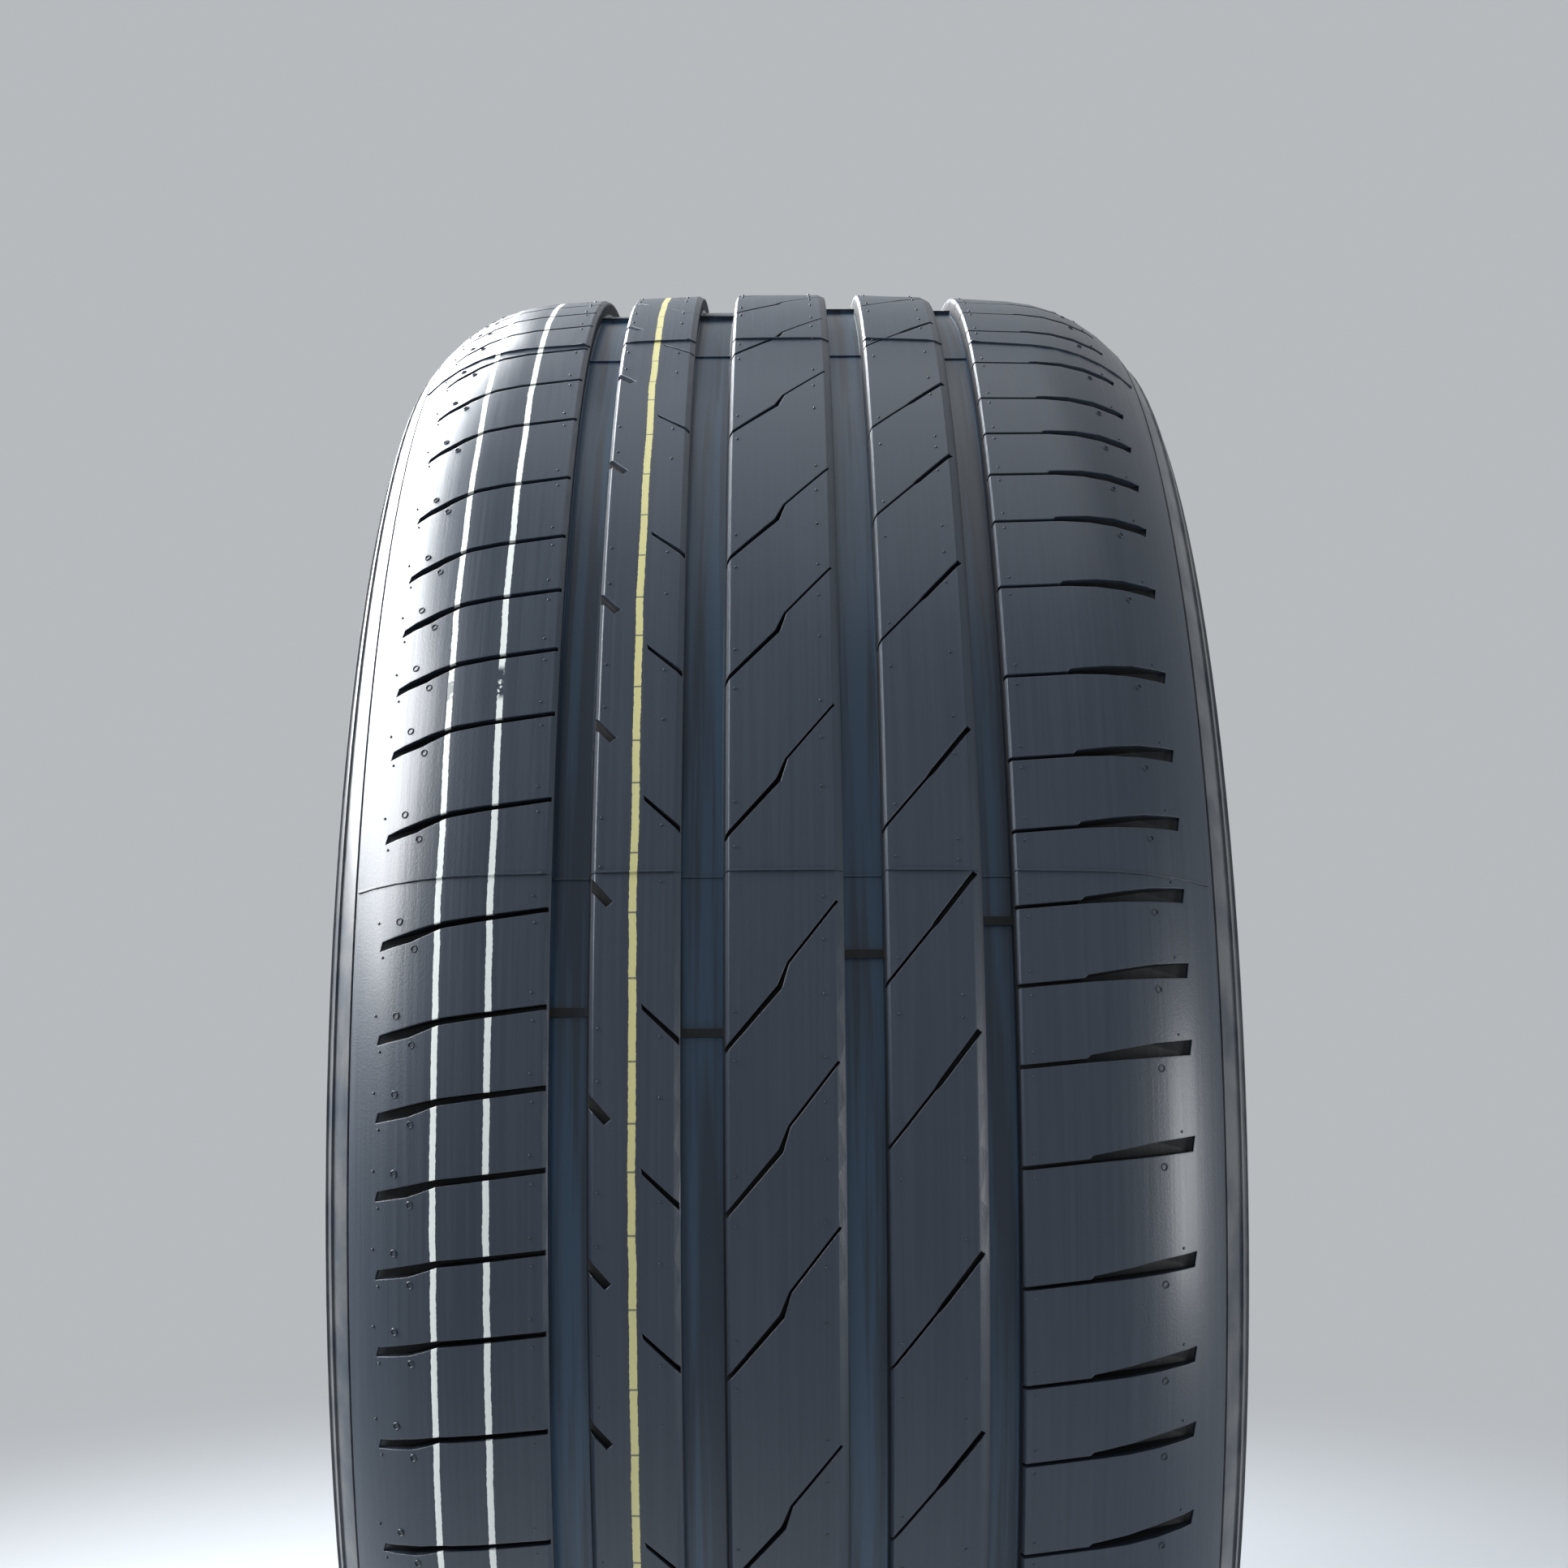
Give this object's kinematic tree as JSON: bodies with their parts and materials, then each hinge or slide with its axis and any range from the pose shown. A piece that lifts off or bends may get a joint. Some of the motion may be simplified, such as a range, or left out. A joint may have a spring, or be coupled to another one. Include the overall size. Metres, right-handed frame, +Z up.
{
  "type": "car tyre",
  "caption": "Low-profile car tyre with an asymmetric road tread, grooves round it, slanted grooves across both shoulders, rim protectors and open beads for a one-piece rim.",
  "frame": {"origin": "centre of the tyre, on the wheel's axis midway between the two beads", "axes": "+Y along the wheel's axis, to the right in the picture; +X towards the picture's camera; +Z up from the ground"},
  "size_m": [0.6676, 0.2718, 0.6664],
  "materials": {
    "tread_rubber": "moulded black rubber, satin"
  },
  "bodies": {
    "root": {"tyre": "tread_rubber"}
  },
  "joints": []
}
